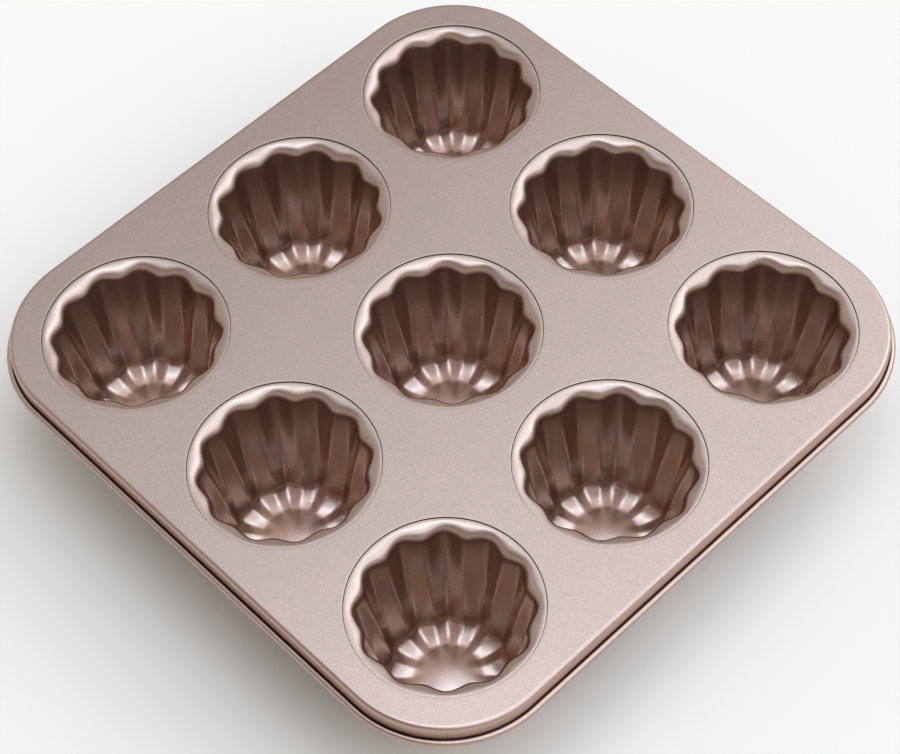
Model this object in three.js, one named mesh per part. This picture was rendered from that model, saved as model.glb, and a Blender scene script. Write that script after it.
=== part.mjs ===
// Canele pan: nine fluted mould cups, each locked into its own hole of a pressed deck with a rolled edge.
// Millimetres, +Z up. The pan stands on a flat ring in the floor of each cup, and the origin is under the
// middle cup.
import * as THREE from 'three';
import { mergeVertices } from 'three/addons/utils/BufferGeometryUtils.js';

// Mould cups
const CUP_DEPTH = 45.2; // from the deck's top to the lowest part of the inside
const CUP_SHEET = 0.5;
const MOUTH_RADIUS = 27; // flute crests, carried up to the deck's top
const BASE_RADIUS = 19.1; // flute crests, carried down to the floor
const FLOOR_ROUND = 2.5; // inside radius at the foot of the wall
const FLOOR_TILT = 25; // degrees that the floor's dished rim has reached at the foot of the wall
const RING_INNER = 12; // flat ring of the floor, on which the cup stands
const RING_OUTER = 13;
const CROWN_RADIUS = 10; // the floor's raised middle is steepest here
const CROWN_TILT = 15; // degrees, at its steepest
const FLUTES = 12; // flat-sided
const FLUTE_DEPTH = 1.75; // crest to hollow, on the wall
const FLUTE_FADE = 2; // power by which the flutes die away over the floor's rim
const FLUTE_START = 0.65; // power by which they begin round the lip

// Turn of each cup about its own axis, in degrees, as it was locked in
const CUP_TURNS = {
  left_front: 18,
  centre_front: 26,
  right_front: 16.5,
  left_middle: 5,
  centre_middle: 19,
  right_middle: 6,
  left_back: 19,
  centre_back: 18.5,
  right_back: 11.5,
};

// Lip and lock seam
const LIP_DROP = 0.4; // the cup's lip lies this much under the deck's top
const LIP_LEAN = 5; // degrees that it already falls inwards beside the seam
const LIP_ROUND = 2.6; // radius of the lip's upper part
const LIP_EASE = 5; // larger radius by which it runs on into the wall
const LIP_TURN = 40; // degrees above level that the face points to where the two radii meet
const LIP_LAND = 0.2; // flat left under the lip between its two bends
const COLLAR_BEND = 0.1; // inside bend radius between deck and collar
const COLLAR_DROP = 3.2; // from the deck's top to the collar's lower edge
const COLLAR_TAPER = 0.5; // the collar narrows downwards by this, so that no cup drops through
const HOOK_REACH = 1; // how far the cup's folded rim hooks out past the collar
const SEAM_GAP = 0.1;

// Deck
const DECK_SHEET = 0.5;
const WEB_WIDTH = 9.95; // between two neighbouring holes
const EDGE_WIDTH = 7.65; // flat deck between an outer hole and the shoulder
const CORNER_WIDTH = 8.85; // the same, measured on the diagonal at a corner hole
const EDGE_BEND = 0.9; // inside bend radius of the shoulder
const CURL_DROP = 7; // from the deck's top to the middle of the curled bead
const CURL_BORE = 0.7; // radius of the hollow in the bead
const CURL_SWEEP = 280; // degrees that the edge is rolled through

// Facets
const WALL_STEPS = 2; // per flute, on the fluted wall and the seam
const FLOOR_STEPS = 1; // per flute, on the floor's raised middle
const CROWN_STEPS = 2; // across the raised middle
const BOWL_STEPS = 2; // across the floor's dished rim
const ROUND_STEPS = 1; // round the foot of the wall
const EASE_STEPS = 1; // down the lower part of the lip
const LIP_STEPS = 2; // round its upper part
const COLLAR_STEPS = 1; // across the bend into a collar
const CORNER_STEPS = 6; // round a corner of the deck
const BEND_STEPS = 3; // across the deck's shoulder
const CURL_STEPS = 6; // round the bead

// Finish
const COATING_COLOUR = '#c3ada3';
const COATING_ROUGHNESS = 0.36;
const COATING_METALNESS = 0.75;

// Sizes that follow from the ones above
const TAPER = Math.atan((MOUTH_RADIUS - BASE_RADIUS) / CUP_DEPTH);
const TURN = THREE.MathUtils.degToRad(LIP_TURN);
const LEAN = THREE.MathUtils.degToRad(LIP_LEAN);
const ROUND_CENTRE_DROP = LIP_DROP + LIP_ROUND * Math.cos(LEAN);
const EASE_CENTRE_DROP = ROUND_CENTRE_DROP + (LIP_EASE - LIP_ROUND) * Math.sin(TURN);
const LIP_FOOT = EASE_CENTRE_DROP - LIP_EASE * Math.sin(TAPER);
const EASE_CENTRE_RADIUS = crestRadius(LIP_FOOT) + LIP_EASE * Math.cos(TAPER);
const ROUND_CENTRE_RADIUS = EASE_CENTRE_RADIUS - (LIP_EASE - LIP_ROUND) * Math.cos(TURN);
const LIP_RADIUS = ROUND_CENTRE_RADIUS - LIP_ROUND * Math.sin(LEAN);
const SEAM_RADIUS = LIP_RADIUS + LIP_LAND + CUP_SHEET;
const HOLE_RADIUS = SEAM_RADIUS + SEAM_GAP;
const PITCH = 2 * HOLE_RADIUS + WEB_WIDTH;
const HALF_FLAT = PITCH + HOLE_RADIUS + EDGE_WIDTH;
const CORNER_REACH = Math.SQRT2 * PITCH + HOLE_RADIUS + CORNER_WIDTH;
const CORNER_RADIUS = (Math.SQRT2 * HALF_FLAT - CORNER_REACH) / (Math.SQRT2 - 1);
const DECK_TOP = CUP_DEPTH + CUP_SHEET;

// Radius of the flute crests at a depth under the deck's top
function crestRadius(depth) {
  return MOUTH_RADIUS - ((MOUTH_RADIUS - BASE_RADIUS) * depth) / CUP_DEPTH;
}

// Points of an arc in a section, with angles in degrees and both ends included
function arc(centreX, centreZ, radius, from, to, steps) {
  return Array.from({ length: steps + 1 }, (_, step) => {
    const angle = THREE.MathUtils.degToRad(from + ((to - from) * step) / steps);
    return { x: centreX + radius * Math.cos(angle), z: centreZ + radius * Math.sin(angle) };
  });
}

// The other face of a sheet whose first face follows the path, with the metal on the path's right.
// A path that starts on the axis is met there by its own mirror image.
function otherFace(path, sheet) {
  const normals = path.slice(1).map((point, index) => {
    const along = new THREE.Vector2(point.x - path[index].x, point.z - path[index].z).normalize();
    return new THREE.Vector2(along.y, -along.x);
  });
  const [first] = normals;
  const lead = path[0].x === 0 ? new THREE.Vector2(-first.x, first.y) : first;
  return path.map((point, index) => {
    const before = index > 0 ? normals[index - 1] : lead;
    const after = normals[Math.min(index, normals.length - 1)];
    const mitre = before.clone().add(after).multiplyScalar(sheet / (1 + before.dot(after)));
    return { ...point, x: point.x + mitre.x, z: point.z + mitre.y };
  });
}

// Band of triangles between two rings of points, which may differ in number
function bridge(faces, first, second) {
  let i = 0;
  let j = 0;
  const firstEnd = first.length > 1 ? first.length : 0;
  const secondEnd = second.length > 1 ? second.length : 0;
  while (i < firstEnd || j < secondEnd) {
    const a = first[i % first.length];
    const b = second[j % second.length];
    const stepFirst = j === secondEnd || (i < firstEnd && (i + 1) * secondEnd <= (j + 1) * firstEnd);
    if (stepFirst) {
      i += 1;
      faces.push(a, b, first[i % first.length]);
    } else {
      j += 1;
      faces.push(a, b, second[j % second.length]);
    }
  }
}

function bridgeAll(faces, rings) {
  rings.slice(1).forEach((ring, index) => bridge(faces, rings[index], ring));
}

function closedGeometry(faces) {
  return mergeVertices(new THREE.BufferGeometry().setFromPoints(faces));
}

// Floor of a cup's section: a raised middle that eases down to the flat ring
function crownSection() {
  const tilt = THREE.MathUtils.degToRad(CROWN_TILT);
  const easeRadius = (RING_INNER - CROWN_RADIUS) / Math.sin(tilt);
  const crownRadius = CROWN_RADIUS / Math.sin(tilt);
  const crownZ = -CUP_DEPTH + easeRadius - (easeRadius + crownRadius) * Math.cos(tilt);
  const points = [
    ...arc(0, crownZ, crownRadius, 90, 90 - CROWN_TILT, CROWN_STEPS),
    { x: RING_INNER, z: -CUP_DEPTH },
  ];
  points[0].x = 0;
  return points.map((point) => ({ ...point, flute: 0, lean: 90, steps: FLOOR_STEPS }));
}

// Dished rim of the floor from the flat ring outwards, and the foot of the wall, where the flutes grow
function bowlSection() {
  const wallAngle = THREE.MathUtils.radToDeg(TAPER);
  const slope = Math.tan(TAPER);
  const tilt = THREE.MathUtils.degToRad(FLOOR_TILT);
  const inset = FLOOR_ROUND / Math.cos(TAPER);
  const half = Math.tan(tilt / 2);
  const reach = MOUTH_RADIUS - inset - RING_OUTER;
  const footZ = (FLOOR_ROUND - CUP_DEPTH + half * reach) / (1 - slope * half);
  const footX = MOUTH_RADIUS + slope * footZ - inset;
  const bowlRadius = (footX - RING_OUTER) / Math.sin(tilt) + FLOOR_ROUND;
  const bowl = arc(RING_OUTER, bowlRadius - CUP_DEPTH, bowlRadius, -90, FLOOR_TILT - 90, BOWL_STEPS);
  const foot = arc(footX, footZ, FLOOR_ROUND, FLOOR_TILT - 90, -wallAngle, ROUND_STEPS);
  return [
    ...bowl.map((point, index) => ({
      ...point,
      flute: 1 - (1 - index / BOWL_STEPS) ** FLUTE_FADE,
      lean: 90 + (FLOOR_TILT * index) / BOWL_STEPS,
      steps: WALL_STEPS,
    })),
    ...foot.slice(1).map((point, index) => ({
      ...point,
      flute: 1,
      lean: 90 + FLOOR_TILT + ((90 - FLOOR_TILT) * (index + 1)) / ROUND_STEPS,
      steps: WALL_STEPS,
    })),
  ];
}

// Lip of a cup from the top of the wall outwards, where the flutes die away
function lipSection() {
  const wallAngle = THREE.MathUtils.radToDeg(TAPER);
  const topAngle = 90 - LIP_LEAN;
  const ease = arc(
    EASE_CENTRE_RADIUS,
    -EASE_CENTRE_DROP,
    LIP_EASE,
    180 - wallAngle,
    180 - LIP_TURN,
    EASE_STEPS,
  );
  const round = arc(
    ROUND_CENTRE_RADIUS,
    -ROUND_CENTRE_DROP,
    LIP_ROUND,
    180 - LIP_TURN,
    180 - topAngle,
    LIP_STEPS,
  );
  return [...ease, ...round.slice(1)].map((point, index) => {
    const easeAngle = wallAngle + ((LIP_TURN - wallAngle) * index) / EASE_STEPS;
    const roundAngle = LIP_TURN + ((topAngle - LIP_TURN) * (index - EASE_STEPS)) / LIP_STEPS;
    const angle = index < EASE_STEPS ? easeAngle : roundAngle;
    const flute = ((topAngle - angle) / (topAngle - wallAngle)) ** FLUTE_START;
    return { ...point, flute, lean: 180, steps: WALL_STEPS };
  });
}

// Section of a cup's upper face, from the middle of the floor out to the tip of its hooked rim.
// flute is the share of the flutes that a point has, lean the way in which a hollow bulges there, and
// steps its facets per flute.
function cupSection() {
  const hookZ = -COLLAR_DROP - SEAM_GAP;
  const hookX = HOLE_RADIUS - COLLAR_TAPER + DECK_SHEET + HOOK_REACH;
  const rim = [
    { x: SEAM_RADIUS, z: -LIP_DROP },
    { x: SEAM_RADIUS - COLLAR_TAPER, z: hookZ },
    { x: hookX, z: hookZ },
  ].map((point) => ({ ...point, flute: 0, lean: 180, steps: WALL_STEPS }));
  return [...crownSection(), ...bowlSection(), ...lipSection(), ...rim];
}

// Ring of points round a cup's axis. Crests keep to the section and hollows bulge in from it.
function cupRing({ x, z, flute, lean, steps }) {
  if (x === 0) {
    return [new THREE.Vector3(0, 0, z)];
  }
  const count = FLUTES * steps;
  const way = THREE.MathUtils.degToRad(lean);
  return Array.from({ length: count }, (_, index) => {
    const angle = (2 * Math.PI * index) / count;
    const hollow = Math.abs((((2 * index) / steps + 1) % 2) - 1);
    const bulge = flute * hollow * FLUTE_DEPTH * Math.min(x / BASE_RADIUS, 1);
    const radius = x + bulge * Math.cos(way);
    return new THREE.Vector3(
      radius * Math.cos(angle),
      radius * Math.sin(angle),
      z + bulge * Math.sin(way),
    );
  });
}

// One drawn cup: crowned floor, fluted tapering wall, round lip and hooked rim, all in one sheet
function cupGeometry() {
  const upper = cupSection();
  const under = otherFace(upper, CUP_SHEET).reverse();
  const faces = [];
  bridgeAll(faces, [...upper, ...under].map(cupRing));
  return closedGeometry(faces);
}

// Ring round the deck's rounded square, at a distance outside its flat top
function edgeRing({ x, z }) {
  const middle = HALF_FLAT - CORNER_RADIUS;
  const points = [];
  for (let corner = 0; corner < 4; corner += 1) {
    const turn = (corner * Math.PI) / 2;
    const centre = new THREE.Vector2(middle, middle).rotateAround(new THREE.Vector2(), turn);
    for (let step = 0; step <= CORNER_STEPS; step += 1) {
      const angle = turn + ((Math.PI / 2) * step) / CORNER_STEPS;
      const radius = CORNER_RADIUS + x;
      points.push(
        new THREE.Vector3(centre.x + radius * Math.cos(angle), centre.y + radius * Math.sin(angle), z),
      );
    }
  }
  return points;
}

// Shoulder, skirt and curl of the deck's edge, on the sheet's upper face or its under face
function edgeSection(isUpper) {
  const outside = EDGE_BEND + DECK_SHEET;
  const bendRadius = isUpper ? outside : EDGE_BEND;
  const curlRadius = isUpper ? CURL_BORE : CURL_BORE + DECK_SHEET;
  return [
    ...arc(0, -outside, bendRadius, 90, 0, BEND_STEPS),
    ...arc(outside + CURL_BORE, -CURL_DROP, curlRadius, 180, 180 + CURL_SWEEP, CURL_STEPS),
  ];
}

// Collar turned down round a hole, from the deck's under face down and back up to its top
function collarSection() {
  const outside = COLLAR_BEND + DECK_SHEET;
  const bendX = HOLE_RADIUS + outside;
  const foot = { x: HOLE_RADIUS - COLLAR_TAPER, z: -COLLAR_DROP };
  return [
    ...arc(bendX, -outside, COLLAR_BEND, 90, 180, COLLAR_STEPS),
    { x: foot.x + DECK_SHEET, z: foot.z },
    foot,
    ...arc(bendX, -outside, outside, 180, 90, COLLAR_STEPS),
  ];
}

// Ring round a hole. Its facets follow the turn of the cup in it, so that the seam is even.
function holeRing({ x, z }, place) {
  const count = FLUTES * WALL_STEPS;
  return Array.from({ length: count }, (_, index) => {
    const angle = place.turn + (2 * Math.PI * index) / count;
    return new THREE.Vector3(place.x + x * Math.cos(angle), place.y + x * Math.sin(angle), z);
  });
}

// Flat face between an outline and its holes, all given anticlockwise from above
function flatFace(faces, outline, holes, isUp) {
  const openings = holes.map((ring) => [...ring].reverse());
  const points = [...outline, ...openings.flat()];
  THREE.ShapeUtils.triangulateShape([...outline], openings).forEach(([a, b, c]) => {
    const corners = isUp ? [a, b, c] : [a, c, b];
    faces.push(...corners.map((corner) => points[corner]));
  });
}

// The pressed deck: flat top with nine collared holes, shoulder, skirt and curled bead
function deckGeometry(places) {
  const faces = [];
  const edge = [...edgeSection(true), ...edgeSection(false).reverse()].map(edgeRing);
  bridgeAll(faces, edge);
  const collars = places.map((place) => collarSection().map((point) => holeRing(point, place)));
  collars.forEach((rings) => bridgeAll(faces, rings));
  flatFace(faces, edge[0], collars.map((rings) => rings[rings.length - 1]), true);
  flatFace(faces, edge[edge.length - 1], collars.map((rings) => rings[0]), false);
  return closedGeometry(faces);
}

function coating() {
  return new THREE.MeshStandardMaterial({
    color: COATING_COLOUR,
    roughness: COATING_ROUGHNESS,
    metalness: COATING_METALNESS,
  });
}

// Cups in rows and columns, seen from above with the front towards -Y
function cupPlaces() {
  const columns = ['left', 'centre', 'right'];
  const rows = ['front', 'middle', 'back'];
  return rows.flatMap((row, rowIndex) =>
    columns.map((column, columnIndex) => ({
      name: `${column}_${row}`,
      x: (columnIndex - 1) * PITCH,
      y: (rowIndex - 1) * PITCH,
      turn: THREE.MathUtils.degToRad(CUP_TURNS[`${column}_${row}`]),
    })),
  );
}

const places = cupPlaces();
const pan = new THREE.Group();

const deck = new THREE.Mesh(deckGeometry(places), coating());
deck.name = 'deck';
deck.position.z = DECK_TOP;
pan.add(deck);

const shell = cupGeometry();
places.forEach((place) => {
  const cup = new THREE.Mesh(shell, coating());
  cup.name = `cup_${place.name}`;
  cup.position.set(place.x, place.y, DECK_TOP);
  cup.rotation.z = place.turn;
  pan.add(cup);
});

export default pan;
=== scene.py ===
import math

import bpy
import numpy as np
from mathutils import Matrix, Vector
from mathutils.geometry import delaunay_2d_cdt


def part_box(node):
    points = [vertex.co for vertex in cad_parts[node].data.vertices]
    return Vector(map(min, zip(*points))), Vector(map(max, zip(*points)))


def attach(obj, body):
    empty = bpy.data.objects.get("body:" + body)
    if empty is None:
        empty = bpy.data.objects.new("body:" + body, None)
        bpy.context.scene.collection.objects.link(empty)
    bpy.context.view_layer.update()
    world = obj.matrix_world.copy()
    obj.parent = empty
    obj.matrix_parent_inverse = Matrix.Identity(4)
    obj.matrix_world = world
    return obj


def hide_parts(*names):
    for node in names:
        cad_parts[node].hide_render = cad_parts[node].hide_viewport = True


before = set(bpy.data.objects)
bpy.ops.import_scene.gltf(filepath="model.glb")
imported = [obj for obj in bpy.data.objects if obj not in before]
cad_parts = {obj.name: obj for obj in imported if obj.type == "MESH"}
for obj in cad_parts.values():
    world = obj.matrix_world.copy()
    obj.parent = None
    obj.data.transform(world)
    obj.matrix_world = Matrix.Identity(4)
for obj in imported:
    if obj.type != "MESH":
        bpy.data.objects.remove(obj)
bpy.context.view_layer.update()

MM = 0.001

# Sizes in millimetres and angles in degrees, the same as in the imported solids
CUP_DEPTH = 45.2
CUP_SHEET = 0.5
MOUTH_RADIUS = 27.0
BASE_RADIUS = 19.1
FLOOR_TILT = 25.0
RING_INNER = 12.0
RING_OUTER = 13.0
CROWN_RADIUS = 10.0
CROWN_TILT = 15.0
FLUTES = 12
FLUTE_DEPTH = 1.75
FLUTE_START = 0.65  # power by which the flutes begin round the lip
LIP_DROP = 0.4
LIP_LEAN = 5.0
LIP_ROUND = 2.6
LIP_EASE = 5.0
LIP_TURN = 40.0
LIP_LAND = 0.2
COLLAR_BEND = 0.1
COLLAR_DROP = 3.2
COLLAR_TAPER = 0.5
HOOK_REACH = 1.0
SEAM_GAP = 0.1
DECK_SHEET = 0.5
WEB_WIDTH = 9.95
EDGE_WIDTH = 7.65
CORNER_WIDTH = 8.85
EDGE_BEND = 0.9
CURL_DROP = 7.0
CURL_BORE = 0.7
CURL_SWEEP = 280.0
CUP_TURNS = {
    "left_front": 18.0,
    "centre_front": 26.0,
    "right_front": 16.5,
    "left_middle": 5.0,
    "centre_middle": 19.0,
    "right_middle": 6.0,
    "left_back": 19.0,
    "centre_back": 18.5,
    "right_back": 11.5,
}

# Fine rounding that the facets of the solids leave out, in millimetres and degrees
FLOOR_ROUND = 4.0  # inside radius at the foot of the wall, larger than in the solids
FADE_INNER = 6.0  # the flutes die away over the floor between these two radii
FADE_OUTER = 19.0
POLE_GAP = 1.0  # half angle of the small flat in the very middle of the floor
SEAM_FOLD = 0.12  # bend of a cup's rim down into the seam
HOOK_FOLD = 0.2  # bend of the rim out under the collar
RIM_LEAN = 8.0  # the rim leans inwards by this between its two bends
COLLAR_FOLD = 0.1  # bend of the deck's top down into a collar
COLLAR_EDGE = 0.05  # short upright stretch at a collar's lower edge
CURL_SLACK = 0.012  # taken off the bead, so that it stays inside the box of the solids
SUPPORT = 0.25  # short straight stretch beside a bend, which keeps the shading even
SHARP_ANGLE = 50.0  # edges with a larger turn stay sharp

# Rounding of a flute's edges, as shares of the way from crest to hollow
CREST_ROUND = 0.14
HOLLOW_ROUND = 0.2
LIP_WAVE_ROUND = 0.3  # of both edges at the lip
LIP_RUN = 14.0  # millimetres under the lip in which they widen to that
FOOT_WAVE_ROUND = 0.2  # of both edges at the floor
FOOT_RUN = 8.0  # millimetres above the floor in which they widen to that

# Steps in the meshes
FLUTE_STEPS = 18
CROWN_STEPS = 12
CROWN_EASE_STEPS = 8
BOWL_STEPS = 16
FOOT_STEPS = 12
WALL_STEPS = 17
LIP_EASE_STEPS = 9
LIP_STEPS = 12
SEAM_STEPS = 8
HOOK_STEPS = 5
HOLE_STEPS = 144
COLLAR_STEPS = 6
CORNER_STEPS = 40
SIDE_STEPS = 6
SHOULDER_STEPS = 14
CURL_STEPS = 36
MERGE_DISTANCE = 1e-7  # points of a flat face that lie closer than this are one
HULL_TRIANGLES = 0  # kind of triangulation: all triangles inside the convex hull

# Sizes that follow from the ones above
TAPER = math.atan((MOUTH_RADIUS - BASE_RADIUS) / CUP_DEPTH)


def crest_radius(depth):
    return MOUTH_RADIUS - (MOUTH_RADIUS - BASE_RADIUS) * depth / CUP_DEPTH


LEAN = math.radians(LIP_LEAN)
TURN = math.radians(LIP_TURN)
WALL_ANGLE = math.degrees(TAPER)
LIP_TOP = 90 - LIP_LEAN
LIP_CENTRE_DROP = LIP_DROP + LIP_ROUND * math.cos(LEAN)
EASE_CENTRE_DROP = LIP_CENTRE_DROP + (LIP_EASE - LIP_ROUND) * math.sin(TURN)
LIP_FOOT = EASE_CENTRE_DROP - LIP_EASE * math.sin(TAPER)
EASE_CENTRE_RADIUS = crest_radius(LIP_FOOT) + LIP_EASE * math.cos(TAPER)
LIP_CENTRE_RADIUS = EASE_CENTRE_RADIUS - (LIP_EASE - LIP_ROUND) * math.cos(TURN)
LIP_RADIUS = LIP_CENTRE_RADIUS - LIP_ROUND * math.sin(LEAN)
SEAM_RADIUS = LIP_RADIUS + LIP_LAND + CUP_SHEET
HOLE_RADIUS = SEAM_RADIUS + SEAM_GAP
PITCH = 2 * HOLE_RADIUS + WEB_WIDTH
HALF_FLAT = PITCH + HOLE_RADIUS + EDGE_WIDTH
CORNER_REACH = math.sqrt(2) * PITCH + HOLE_RADIUS + CORNER_WIDTH
CORNER_RADIUS = (math.sqrt(2) * HALF_FLAT - CORNER_REACH) / (math.sqrt(2) - 1)
CORNER_CENTRE = HALF_FLAT - CORNER_RADIUS
DECK_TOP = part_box("deck")[1].z / MM
CUP_CENTRES = {
    f"{column}_{row}": np.array([x * PITCH, y * PITCH])
    for y, row in zip((-1, 0, 1), ("front", "middle", "back"))
    for x, column in zip((-1, 0, 1), ("left", "centre", "right"))
}

# Coating: a warm metallic coat under a thin clear film, with a fine grain and soft clouds in its tone,
# and painted shade in the seams
BASE_TONE = (0.41, 0.278, 0.216)
EDGE_TONE = (1.0, 0.7, 0.55)  # tint of the metal at grazing angles
METAL_SHARE = 1.0
BASE_ROUGHNESS = 0.33
FILM_SHARE = 1.0
FILM_ROUGHNESS = 0.2
FILM_INDEX = 1.65
GRAIN = {"scale": 2000.0, "detail": 2.0}
GRAIN_SHADE = 0.1
CLOUD = {"scale": 45.0, "detail": 3.0}
CLOUD_SHADE = 0.02
FLOW = {"scale": 420.0, "detail": 2.0}
FLOW_ROUGHNESS = 0.03
NOISE_LOW = 0.3  # most of the noise lies between these two values
NOISE_HIGH = 0.7
SEAM_SHADE_TONE = 0.2  # share of the tone that is left inside a seam, as painted shade where the crevice lies in shadow

# Floor and light, in metres
PAPER_TONE = (0.77, 0.685, 0.6)
PAPER_ROUGHNESS = 0.9
PAPER_GLOSS = 0.0
FLOOR_HALF = 4.0
LIGHT_TONE = (0.86, 1.03, 1.24)
ROOM_TONE = (1.0, 0.96, 0.9)
ROOM_LEVEL = 0.16
HORIZON_LEVEL = 0.65
# A soft light begins at the cosine faint of the angle to its axis, and is whole at the cosine full
MAIN_LIGHT = {"axis": (0.33, 0.32, 0.888), "faint": 0.54, "full": 0.88, "level": 1.82}
FILL_LIGHT = {"axis": (-0.6, -0.15, 0.786), "faint": 0.8, "full": 0.96, "level": 0.38}
SIDE_LIGHT = {"axis": (0.05, 0.85, 0.52), "faint": 0.82, "full": 0.98, "level": 0.83}
BOX_SIZE = 0.3
BOX_LEVEL = 1.5
BOX_PLACE = (0.02, -0.02, 0.65)  # from the middle of the deck's top

# Camera: angles in degrees, places in metres, lens and sensor in millimetres
VIEW_AZIMUTH = 47.904
VIEW_ELEVATION = 55.644
VIEW_ROLL = -2.814
VIEW_TARGET = (0.013421, -0.012448)  # point of the deck's top in the middle of the picture
VIEW_DISTANCE = 0.7495
LENS_LENGTH = 96.353
SENSOR_WIDTH = 36.0


def smoothstep(t):
    t = np.clip(t, 0, 1)
    return t * t * (3 - 2 * t)


def arc(x, z, radius, start, end, steps):
    angles = np.radians(np.linspace(start, end, steps + 1))
    return np.column_stack([x + radius * np.cos(angles), z + radius * np.sin(angles)])


def other_face(path, sheet):
    """Second face of a sheet whose first face follows the path, with the metal on the path's right."""
    along = np.diff(path, axis=0)
    along /= np.linalg.norm(along, axis=1)[:, None]
    normal = np.column_stack([along[:, 1], -along[:, 0]])
    before = np.vstack([normal[:1], normal])
    after = np.vstack([normal, normal[-1:]])
    mitre = (before + after) / (1 + np.sum(before * after, axis=1))[:, None]
    return path + mitre * sheet


def grid_faces(rings, count, first=0):
    """Quads between successive rings of one vertex count."""
    index = first + np.arange(rings * count).reshape(rings, count)
    following = np.roll(index, -1, axis=1)
    quads = np.stack([index[:-1], following[:-1], following[1:], index[1:]], axis=-1)
    return quads.reshape(-1, 4).tolist()


# Cups
def floor_section():
    """Raised middle of the floor, out to the flat ring on which the cup stands."""
    crown = math.radians(CROWN_TILT)
    ease = (RING_INNER - CROWN_RADIUS) / math.sin(crown)
    dome = CROWN_RADIUS / math.sin(crown)
    dome_z = ease - (ease + dome) * math.cos(crown) - CUP_DEPTH
    return np.vstack([
        arc(0, dome_z, dome, 90 - POLE_GAP, 90 - CROWN_TILT, CROWN_STEPS),
        arc(RING_INNER, ease - CUP_DEPTH, ease, -90 - CROWN_TILT, -90, CROWN_EASE_STEPS)[1:],
    ])


def foot_section():
    """Dished rim of the floor, and the rounded foot of the wall that it runs into."""
    slope = math.tan(TAPER)
    tilt = math.radians(FLOOR_TILT)
    inset = FLOOR_ROUND / math.cos(TAPER)
    half = math.tan(tilt / 2)
    reach = MOUTH_RADIUS - inset - RING_OUTER
    foot_z = (FLOOR_ROUND - CUP_DEPTH + half * reach) / (1 - slope * half)
    foot_x = MOUTH_RADIUS + slope * foot_z - inset
    bowl_round = (foot_x - RING_OUTER) / math.sin(tilt) + FLOOR_ROUND
    bowl = arc(RING_OUTER, bowl_round - CUP_DEPTH, bowl_round, -90, FLOOR_TILT - 90, BOWL_STEPS)
    foot = arc(foot_x, foot_z, FLOOR_ROUND, FLOOR_TILT - 90, -WALL_ANGLE, FOOT_STEPS)[1:]
    return bowl, foot


def lip_section():
    """Lip from the wall to the seam, with the angle above level that its face points to."""
    ease_end = 180 - LIP_TURN
    path = np.vstack([
        arc(EASE_CENTRE_RADIUS, -EASE_CENTRE_DROP, LIP_EASE, 180 - WALL_ANGLE, ease_end, LIP_EASE_STEPS),
        arc(LIP_CENTRE_RADIUS, -LIP_CENTRE_DROP, LIP_ROUND, ease_end, 180 - LIP_TOP, LIP_STEPS)[1:],
    ])
    facing = np.concatenate([
        np.linspace(WALL_ANGLE, LIP_TURN, LIP_EASE_STEPS + 1),
        np.linspace(LIP_TURN, LIP_TOP, LIP_STEPS + 1)[1:],
    ])
    return path, facing


def rim_section():
    """Rim that is folded down inside the collar and hooked out under it."""
    hook_x = HOLE_RADIUS - COLLAR_TAPER + DECK_SHEET + HOOK_REACH
    hook_z = -COLLAR_DROP - SEAM_GAP
    bend_x = SEAM_RADIUS - COLLAR_TAPER + HOOK_FOLD
    return np.vstack([
        arc(SEAM_RADIUS - SEAM_FOLD, -LIP_DROP - SEAM_FOLD, SEAM_FOLD, 90, RIM_LEAN, SEAM_STEPS),
        arc(bend_x, hook_z + HOOK_FOLD, HOOK_FOLD, 180 + RIM_LEAN, 270, HOOK_STEPS),
        [[hook_x, hook_z]],
    ])


def cup_section():
    """Upper face of a cup's section, from the floor's middle to the hooked rim.

    With each point come its share of the flutes and the way in which a hollow bulges there.
    """
    floor = floor_section()
    bowl, foot = foot_section()
    lip, facing = lip_section()
    rim = rim_section()
    wall_z = np.linspace(foot[-1][1], -LIP_FOOT, WALL_STEPS + 1)[1:-1]
    wall = np.column_stack([crest_radius(-wall_z), wall_z])

    path = np.vstack([floor, bowl, foot, wall, lip, rim])
    fade_x = np.vstack([floor, bowl, foot])[:, 0]
    share = np.concatenate([
        smoothstep((fade_x - FADE_INNER) / (FADE_OUTER - FADE_INNER)),
        np.ones(len(wall)),
        ((LIP_TOP - facing) / (LIP_TOP - WALL_ANGLE)) ** FLUTE_START,
        np.zeros(len(rim)),
    ])
    bulge = np.concatenate([
        np.full(len(floor), 90.0),
        np.linspace(90, FLOOR_TILT + 90, len(bowl)),
        np.linspace(FLOOR_TILT + 90, 180, len(foot) + 1)[1:],
        np.full(len(wall), 180.0),
        180 + LIP_LEAN * (facing - WALL_ANGLE) / (LIP_TOP - WALL_ANGLE),
        np.full(len(rim), 180.0),
    ])
    return path, share, np.radians(bulge)


def flute_wave(angle, z):
    """0 on a crest and 1 in a hollow, with flat sides between roundings that widen to lip and floor."""
    t = np.abs((angle * FLUTES / math.pi + 1) % 2 - 1)
    near_lip = smoothstep(1 + (z[:, None] + LIP_FOOT) / LIP_RUN)
    near_floor = smoothstep(1 - (z[:, None] + CUP_DEPTH) / FOOT_RUN)

    def widen(edge):
        return edge + (LIP_WAVE_ROUND - edge) * near_lip + (FOOT_WAVE_ROUND - edge) * near_floor

    crest = widen(CREST_ROUND)
    hollow = widen(HOLLOW_ROUND)
    slope = 1 / (1 - crest / 2 - hollow / 2)
    wave = slope * (t - crest / 2)
    wave = np.where(t < crest, slope * t * t / (2 * crest), wave)
    return np.where(t > 1 - hollow, 1 - slope * (1 - t) ** 2 / (2 * hollow), wave)


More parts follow.
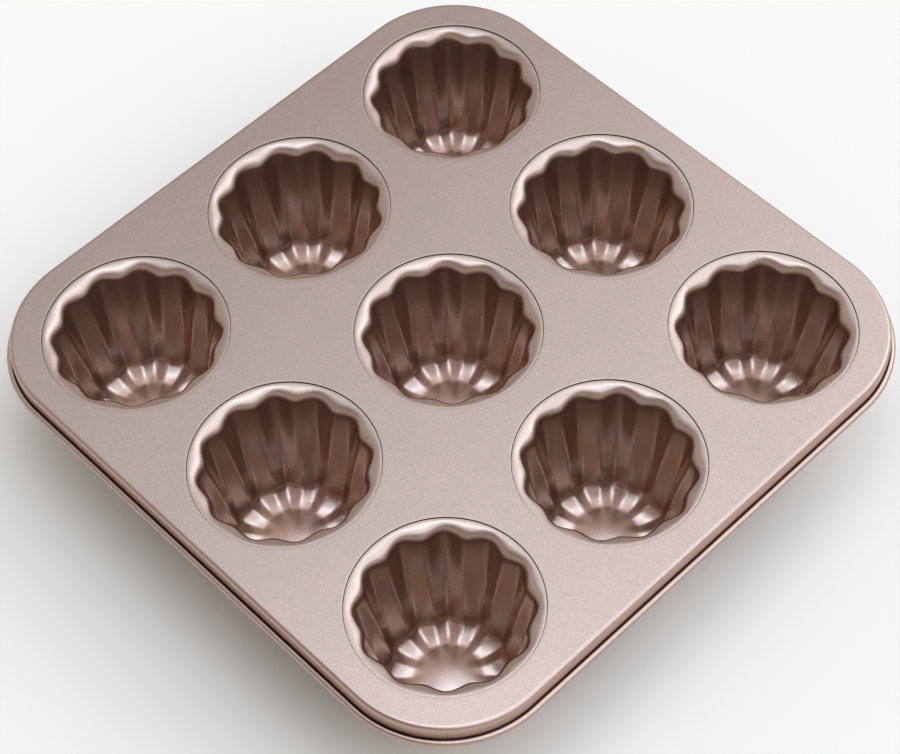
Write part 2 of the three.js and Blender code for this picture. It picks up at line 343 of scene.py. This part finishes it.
def lathe(path, share, bulge):
    """Rings of points round a cup's axis. Crests keep the section and hollows bulge in from it."""
    count = FLUTES * FLUTE_STEPS
    angle = np.linspace(0, 2 * math.pi, count, endpoint=False)
    depth = FLUTE_DEPTH * share * np.minimum(path[:, 0] / BASE_RADIUS, 1)
    shift = depth[:, None] * flute_wave(angle, path[:, 1])
    radius = path[:, :1] + np.cos(bulge)[:, None] * shift
    height = path[:, 1:] + np.sin(bulge)[:, None] * shift
    return np.stack([radius * np.cos(angle), radius * np.sin(angle), height], axis=-1)


def cup_geometry():
    """Points and faces of a cup on its own axis, with the share of painted seam shade at each point."""
    path, share, bulge = cup_section()
    under = other_face(path, CUP_SHEET)
    rings = np.concatenate([lathe(path, share, bulge), lathe(under, share, bulge)[::-1]])
    count = rings.shape[1]
    last = (len(rings) - 1) * count
    faces = grid_faces(len(rings), count)
    faces.append(list(range(count))[::-1])
    faces.append(list(range(last, last + count)))
    # Painted shade: the rim's fold down into the seam is darkened, where the crevice lies in shadow.
    in_seam = path[:, 0] > SEAM_RADIUS - COLLAR_TAPER - HOOK_FOLD
    path_shade_share = np.where(in_seam, smoothstep((-path[:, 1] - LIP_DROP) / SEAM_FOLD), 0)
    shade_share = np.repeat(np.concatenate([path_shade_share, np.zeros(len(path))]), count)
    return rings.reshape(-1, 3), faces, shade_share


# Deck
def edge_section(is_upper):
    """Upper or under face of the deck's edge: shoulder, skirt and curled bead."""
    outside = EDGE_BEND + DECK_SHEET
    bend = outside if is_upper else EDGE_BEND
    curl = CURL_BORE if is_upper else CURL_BORE + DECK_SHEET - CURL_SLACK
    shoulder = arc(0, -outside, bend, 90, 0, SHOULDER_STEPS)
    roll = arc(outside + CURL_BORE, -CURL_DROP, curl, 180, 180 + CURL_SWEEP, CURL_STEPS)
    skirt_z = np.array([shoulder[-1][1] - SUPPORT, roll[0][1] + SUPPORT])
    skirt = np.column_stack([np.full(2, shoulder[-1][0]), skirt_z])
    start = [[-SUPPORT, shoulder[0][1]]]
    return np.vstack([start, shoulder, skirt, roll])


def corner_point(turn, radius, angle):
    """Point at an angle on the rounded corner that begins at this turn."""
    centre = CORNER_CENTRE * np.array([math.cos(turn) - math.sin(turn), math.sin(turn) + math.cos(turn)])
    return centre + radius * np.stack([np.cos(angle), np.sin(angle)], axis=-1)


def edge_ring(offset, z):
    """Rounded square at a distance outside the deck's flat top."""
    radius = CORNER_RADIUS + offset
    quarter = math.pi / 2
    sweep = np.linspace(0, quarter, CORNER_STEPS + 1)
    along = np.linspace(0, 1, SIDE_STEPS + 1)[1:-1, None]
    stretches = []
    for turn in quarter * np.arange(4):
        following = turn + quarter
        bend = corner_point(turn, radius, turn + sweep)
        end = corner_point(following, radius, following)
        side = bend[-1] + (end - bend[-1]) * along
        stretches.extend([bend, side])
    ring = np.vstack(stretches)
    return np.column_stack([ring, np.full(len(ring), z)])


def collar_section():
    """Section of a collar, with the share of painted seam shade at each point."""
    outside = COLLAR_BEND + DECK_SHEET
    bend_x = HOLE_RADIUS + outside
    foot_x = HOLE_RADIUS - COLLAR_TAPER
    edge_z = -COLLAR_DROP + COLLAR_EDGE
    outer = np.vstack([
        [[bend_x + SUPPORT, -DECK_SHEET]],
        arc(bend_x, -outside, COLLAR_BEND, 90, 180, COLLAR_STEPS),
        [[foot_x + DECK_SHEET, edge_z], [foot_x + DECK_SHEET, -COLLAR_DROP]],
    ])
    inner = np.vstack([
        [[foot_x, -COLLAR_DROP], [foot_x, edge_z]],
        arc(HOLE_RADIUS + COLLAR_FOLD, -COLLAR_FOLD, COLLAR_FOLD, 180, 90, SEAM_STEPS),
        [[bend_x + SUPPORT, 0.0]],
    ])
    # Painted shade: the collar's fold down into the seam is darkened, where the crevice lies in shadow.
    shade_share = np.concatenate([np.zeros(len(outer)), smoothstep(-inner[:, 1] / COLLAR_FOLD)])
    return np.vstack([outer, inner]), shade_share


def hole_ring(radius, z, centre):
    angle = np.linspace(0, 2 * math.pi, HOLE_STEPS, endpoint=False)
    x = centre[0] + radius * np.cos(angle)
    y = centre[1] + radius * np.sin(angle)
    return np.column_stack([x, y, np.full(HOLE_STEPS, z)])


def outside_outline(point):
    """Whether a point lies outside the outline of the deck's flat top."""
    beyond = np.maximum(np.abs(point) - CORNER_CENTRE, 0)
    return np.linalg.norm(beyond) > CORNER_RADIUS


def flat_face(points, outline, holes):
    """Triangles of the flat face between an outline and holes, each a range of vertices."""
    loops = [outline, *holes]
    index = [k for loop in loops for k in loop]
    place = {k: n for n, k in enumerate(index)}
    edges = [
        (place[a], place[b]) for loop in loops for a, b in zip(loop, [*loop[1:], loop[0]])
    ]
    flat = [Vector(points[k][:2]) for k in index]
    _, _, triangles, source, _, _ = delaunay_2d_cdt(flat, edges, [], HULL_TRIANGLES, MERGE_DISTANCE)
    back = [index[s[0]] for s in source]
    centres = [np.mean([points[k][:2] for k in hole], axis=0) for hole in holes]
    radius = np.linalg.norm(points[holes[0][0]][:2] - centres[0])
    kept = []
    for triangle in triangles:
        corners = [back[k] for k in triangle]
        middle = np.mean([points[k][:2] for k in corners], axis=0)
        in_hole = any(np.linalg.norm(middle - c) < radius for c in centres)
        beyond = all(k in outline for k in corners) and outside_outline(middle)
        if not in_hole and not beyond:
            kept.append(corners)
    return kept


def deck_geometry():
    """Points and faces of the deck, with the share of painted seam shade at each point."""
    section = np.vstack([edge_section(True), edge_section(False)[::-1]])
    rings = [edge_ring(x, z) for x, z in section]
    count = len(rings[0])
    points = list(np.vstack(rings))
    shade_share = [0.0] * len(points)
    faces = [f[::-1] for f in grid_faces(len(rings), count)]
    top_edge = range(count)
    low_edge = range(len(points) - count, len(points))
    collar, collar_shade_share = collar_section()
    top_holes = []
    low_holes = []
    for centre in CUP_CENTRES.values():
        first = len(points)
        for (x, z), share in zip(collar, collar_shade_share):
            points.extend(hole_ring(x, z, centre))
            shade_share.extend([share] * HOLE_STEPS)
        faces.extend(f[::-1] for f in grid_faces(len(collar), HOLE_STEPS, first))
        low_holes.append(range(first, first + HOLE_STEPS))
        top_holes.append(range(len(points) - HOLE_STEPS, len(points)))
    faces.extend(flat_face(points, top_edge, top_holes))
    faces.extend(f[::-1] for f in flat_face(points, low_edge, low_holes))
    return np.array(points), faces, shade_share


# Pieces
def add_object(name, data):
    item = bpy.data.objects.new(name, data)
    bpy.context.scene.collection.objects.link(item)
    return item


def make_piece(name, points, faces, shade_share, material, node):
    mesh = bpy.data.meshes.new(name)
    mesh.from_pydata((points * MM).tolist(), [], faces)
    mesh.update()
    mesh.polygons.foreach_set("use_smooth", [True] * len(mesh.polygons))
    mesh.set_sharp_from_angle(angle=math.radians(SHARP_ANGLE))
    # Painted shade in the seams, carried to the material as a point attribute.
    mesh.attributes.new("painted_seam_shade", "FLOAT", "POINT").data.foreach_set("value", shade_share)
    mesh.materials.append(material)
    piece = add_object(name, mesh)
    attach(piece, "root")
    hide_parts(node)


def add_cups(material):
    points, faces, shade_share = cup_geometry()
    for place, centre in CUP_CENTRES.items():
        turn = math.radians(CUP_TURNS[place])
        spin = np.array([
            [math.cos(turn), -math.sin(turn), 0], [math.sin(turn), math.cos(turn), 0], [0, 0, 1],
        ])
        placed = points @ spin.T + np.array([*centre, DECK_TOP])
        make_piece(f"cup_{place}_sheet", placed, faces, shade_share, material, f"cup_{place}")


def add_deck(material):
    points, faces, shade_share = deck_geometry()
    placed = points + np.array([0, 0, DECK_TOP])
    make_piece("deck_sheet", placed, faces, shade_share, material, "deck")


# Materials
def coating():
    material = bpy.data.materials.new("coating")
    material.use_nodes = True
    nodes = material.node_tree.nodes
    links = material.node_tree.links
    surface = nodes["Principled BSDF"]
    surface.inputs["Metallic"].default_value = METAL_SHARE
    surface.inputs["Specular Tint"].default_value = (*EDGE_TONE, 1.0)
    surface.inputs["Coat Weight"].default_value = FILM_SHARE
    surface.inputs["Coat Roughness"].default_value = FILM_ROUGHNESS
    surface.inputs["Coat IOR"].default_value = FILM_INDEX

    place = nodes.new("ShaderNodeTexCoord")

    def noise(scale, detail):
        node = nodes.new("ShaderNodeTexNoise")
        node.inputs["Scale"].default_value = scale
        node.inputs["Detail"].default_value = detail
        links.new(place.outputs["Object"], node.inputs["Vector"])
        return node.outputs["Fac"]

    def spread(value, low, high, start=NOISE_LOW, end=NOISE_HIGH):
        node = nodes.new("ShaderNodeMapRange")
        node.inputs["From Min"].default_value = start
        node.inputs["From Max"].default_value = end
        node.inputs["To Min"].default_value = low
        node.inputs["To Max"].default_value = high
        links.new(value, node.inputs["Value"])
        return node.outputs["Result"]

    def product(first, second):
        node = nodes.new("ShaderNodeMath")
        node.operation = "MULTIPLY"
        links.new(first, node.inputs[0])
        links.new(second, node.inputs[1])
        return node.outputs[0]

    grain = spread(noise(**GRAIN), 1 - GRAIN_SHADE, 1 + GRAIN_SHADE)
    cloud = spread(noise(**CLOUD), 1 - CLOUD_SHADE, 1 + CLOUD_SHADE)
    # Painted shade: the tone is darkened inside the seams, where the crevice lies in shadow.
    shade_share = nodes.new("ShaderNodeAttribute")
    shade_share.attribute_name = "painted_seam_shade"
    darken = spread(shade_share.outputs["Fac"], 1.0, SEAM_SHADE_TONE, 0.0, 1.0)
    tone = nodes.new("ShaderNodeHueSaturation")
    tone.inputs["Color"].default_value = (*BASE_TONE, 1.0)
    links.new(product(product(grain, cloud), darken), tone.inputs["Value"])
    links.new(tone.outputs["Color"], surface.inputs["Base Color"])
    flow = spread(noise(**FLOW), BASE_ROUGHNESS - FLOW_ROUGHNESS, BASE_ROUGHNESS + FLOW_ROUGHNESS)
    links.new(flow, surface.inputs["Roughness"])
    return material


def floor_paper():
    material = bpy.data.materials.new("floor_paper")
    material.use_nodes = True
    surface = material.node_tree.nodes["Principled BSDF"]
    surface.inputs["Base Color"].default_value = (*PAPER_TONE, 1.0)
    surface.inputs["Roughness"].default_value = PAPER_ROUGHNESS
    surface.inputs["Specular IOR Level"].default_value = PAPER_GLOSS
    return material


# Stage
def add_floor():
    mesh = bpy.data.meshes.new("floor")
    corners = [(x * FLOOR_HALF, y * FLOOR_HALF, 0) for x, y in ((-1, -1), (1, -1), (1, 1), (-1, 1))]
    mesh.from_pydata(corners, [], [(0, 1, 2, 3)])
    mesh.materials.append(floor_paper())
    plane = add_object("floor", mesh)


def add_world():
    """Plain room that is paler towards the horizon, with a soft main, fill and side light in it."""
    sky = bpy.data.worlds.new("room")
    bpy.context.scene.world = sky
    sky.use_nodes = True
    nodes = sky.node_tree.nodes
    links = sky.node_tree.links
    place = nodes.new("ShaderNodeTexCoord")

    def maths(operation, *values):
        node = nodes.new("ShaderNodeMath")
        node.operation = operation
        for socket, value in zip(node.inputs, values):
            if isinstance(value, float):
                socket.default_value = value
            else:
                links.new(value, socket)
        return node.outputs[0]

    def towards(axis):
        facing = nodes.new("ShaderNodeVectorMath")
        facing.operation = "DOT_PRODUCT"
        facing.inputs[1].default_value = axis
        links.new(place.outputs["Generated"], facing.inputs[0])
        return facing.outputs["Value"]

    def soft_light(axis, faint, full, level):
        """Round patch of light that fades out towards its edge."""
        node = nodes.new("ShaderNodeMapRange")
        node.interpolation_type = "SMOOTHSTEP"
        node.inputs["From Min"].default_value = faint
        node.inputs["From Max"].default_value = full
        node.inputs["To Max"].default_value = level
        links.new(towards(axis), node.inputs["Value"])
        return node.outputs["Result"]

    low = maths("SUBTRACT", 1.0, maths("ABSOLUTE", towards((0.0, 0.0, 1.0))))
    room = nodes["Background"]
    room.inputs["Color"].default_value = (*ROOM_TONE, 1.0)
    links.new(maths("MULTIPLY_ADD", low, HORIZON_LEVEL, ROOM_LEVEL), room.inputs["Strength"])
    lights = nodes.new("ShaderNodeBackground")
    lights.inputs["Color"].default_value = (*LIGHT_TONE, 1.0)
    fill_and_side = maths("ADD", soft_light(**FILL_LIGHT), soft_light(**SIDE_LIGHT))
    links.new(maths("ADD", soft_light(**MAIN_LIGHT), fill_and_side), lights.inputs["Strength"])
    both = nodes.new("ShaderNodeAddShader")
    links.new(room.outputs[0], both.inputs[0])
    links.new(lights.outputs[0], both.inputs[1])
    links.new(both.outputs[0], nodes["World Output"].inputs["Surface"])


def add_softbox():
    lamp = bpy.data.lights.new("softbox", "AREA")
    lamp.shape = "SQUARE"
    lamp.size = BOX_SIZE
    lamp.color = LIGHT_TONE
    lamp.energy = BOX_LEVEL * math.pi * BOX_SIZE ** 2
    box = add_object("softbox", lamp)
    place = Vector(BOX_PLACE)
    box.location = place + Vector((0, 0, DECK_TOP * MM))
    box.rotation_euler = place.to_track_quat("Z", "Y").to_euler()


def add_camera():
    azimuth, elevation, roll = (math.radians(a) for a in (VIEW_AZIMUTH, VIEW_ELEVATION, VIEW_ROLL))
    back = Vector((
        math.sin(azimuth) * math.cos(elevation),
        -math.cos(azimuth) * math.cos(elevation),
        math.sin(elevation),
    ))
    right = Vector((0, 0, 1)).cross(back).normalized()
    up = back.cross(right)
    side = math.cos(roll) * right + math.sin(roll) * up
    above = -math.sin(roll) * right + math.cos(roll) * up
    lens = bpy.data.cameras.new("camera")
    lens.sensor_fit = "HORIZONTAL"
    lens.sensor_width = SENSOR_WIDTH
    lens.lens = LENS_LENGTH
    eye = add_object("camera", lens)
    target = Vector((*VIEW_TARGET, DECK_TOP * MM))
    turn = Matrix((side, above, back)).transposed().to_4x4()
    eye.matrix_world = Matrix.Translation(target + back * VIEW_DISTANCE) @ turn
    bpy.context.scene.camera = eye


COATING = coating()
add_cups(COATING)
add_deck(COATING)
add_floor()
add_world()
add_softbox()
add_camera()
bpy.context.scene.view_settings.view_transform = "Standard"
